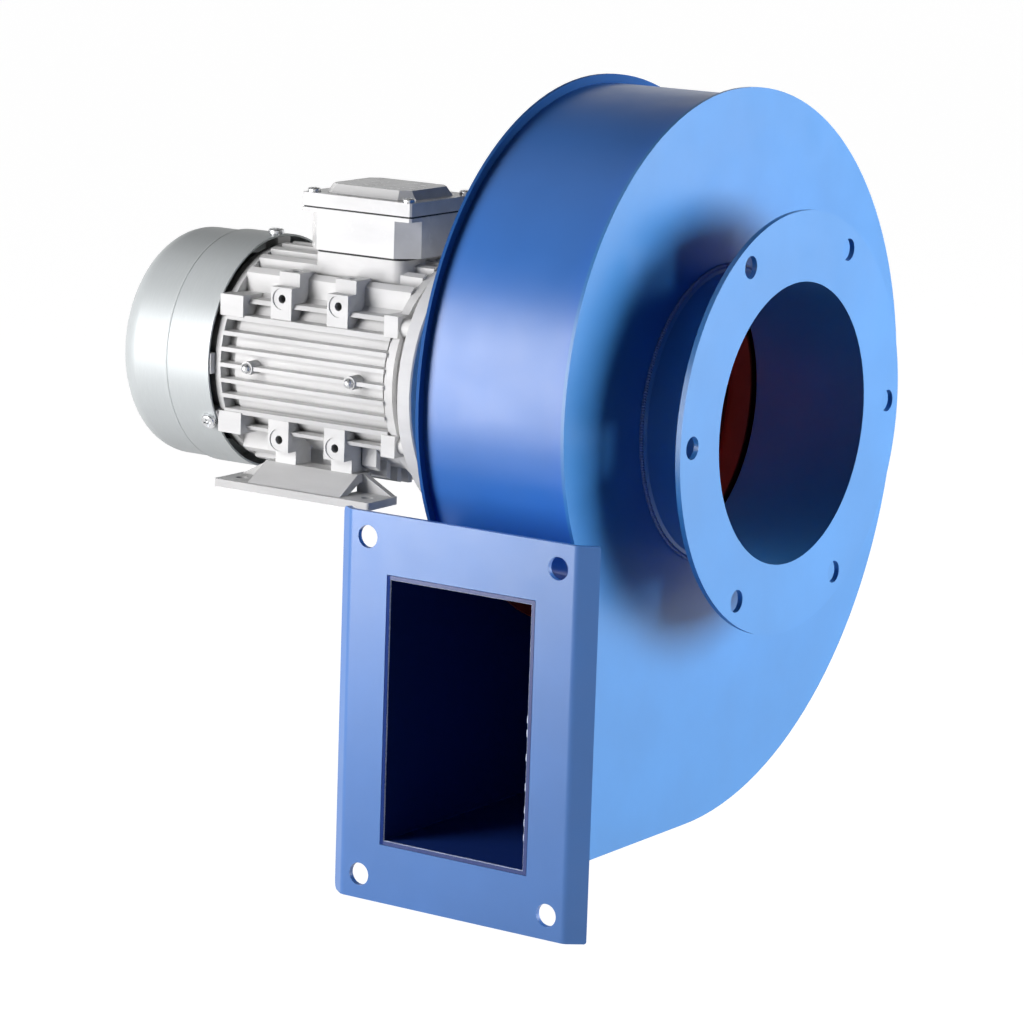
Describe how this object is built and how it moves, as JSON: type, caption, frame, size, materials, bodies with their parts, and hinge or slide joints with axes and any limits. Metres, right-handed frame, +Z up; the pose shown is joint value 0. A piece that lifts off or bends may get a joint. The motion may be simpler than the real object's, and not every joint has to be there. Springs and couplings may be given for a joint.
{
  "type": "centrifugal blower",
  "caption": "Direct-driven centrifugal blower: a welded sheet scroll casing with a round flanged inlet and a rectangular flanged outlet, and a foot-mounted finned motor on the shaft",
  "frame": {"origin": "the centre of the inlet flange's front face, on the shaft axis", "axes": "+X is the shaft axis and points out of the inlet, away from the motor; the outlet blows along -Y; +Z is up and the terminal box stands on top"},
  "size_m": [0.421, 0.3799, 0.4379],
  "materials": {
    "casing": "satin blue paint over welded sheet steel",
    "outlet": "satin blue paint over bent sheet steel",
    "stool": "satin blue paint over welded steel",
    "impeller": "dark red-brown primer over sheet steel",
    "zinc": "bright zinc plate",
    "steel": "ground or laminated steel",
    "casting": "bare die-cast aluminium",
    "box_casting": "smooth die-cast aluminium",
    "cowl": "pale grey satin finish on drawn sheet",
    "plastic": "matt black moulding",
    "felt": "pressed wool felt",
    "gasket": "black rubber sheet",
    "copper": "varnished copper windings",
    "brass": "turned brass",
    "seal_metal": "satin blue paint over turned steel"
  },
  "bodies": {
    "stator": {"front_plate": "casing", "back_plate": "casing", "scroll_wrapper": "casing", "inlet_duct": "casing", "inlet_flange": "casing", "outlet_flange": "outlet", "motor_stool": "stool", "motor_bolts": "zinc", "stool_studs": "zinc", "stool_nuts": "zinc", "foot_bolts": "zinc", "front_shield_screws": "zinc", "rear_shield_screws": "zinc", "cowl_screws": "zinc", "drive_screws": "zinc", "lid_screws": "zinc", "box_screws": "zinc", "seal_screws": "zinc", "bearing_outer_rings": "steel", "stator_core": "steel", "motor_frame": "casting", "front_endshield": "casting", "rear_endshield": "casting", "motor_foot_left": "casting", "motor_foot_right": "casting", "terminal_box": "box_casting", "box_lid": "box_casting", "fan_cowl": "cowl", "terminal_block": "plastic", "cable_gland": "plastic", "felt_seal": "felt", "box_gasket": "gasket", "lid_gasket": "gasket", "windings": "copper", "terminal_studs": "brass", "seal_housing": "seal_metal"},
    "rotor": {"impeller_disc": "impeller", "impeller_shroud": "impeller", "impeller_blades": "impeller", "impeller_hub": "impeller", "hub_rivets": "zinc", "hub_bolt": "zinc", "hub_washer": "zinc", "motor_shaft": "steel", "shaft_key": "steel", "rotor_core": "steel", "bearing_inner_rings": "steel", "bearing_balls": "steel", "cooling_fan": "plastic", "fan_circlip": "steel"}
  },
  "joints": [
    {"name": "rotor_spin", "type": "hinge", "parent": "stator", "child": "rotor", "pos_m": [0, 0, 0], "axis": [1, 0, 0], "continuous": true}
  ]
}
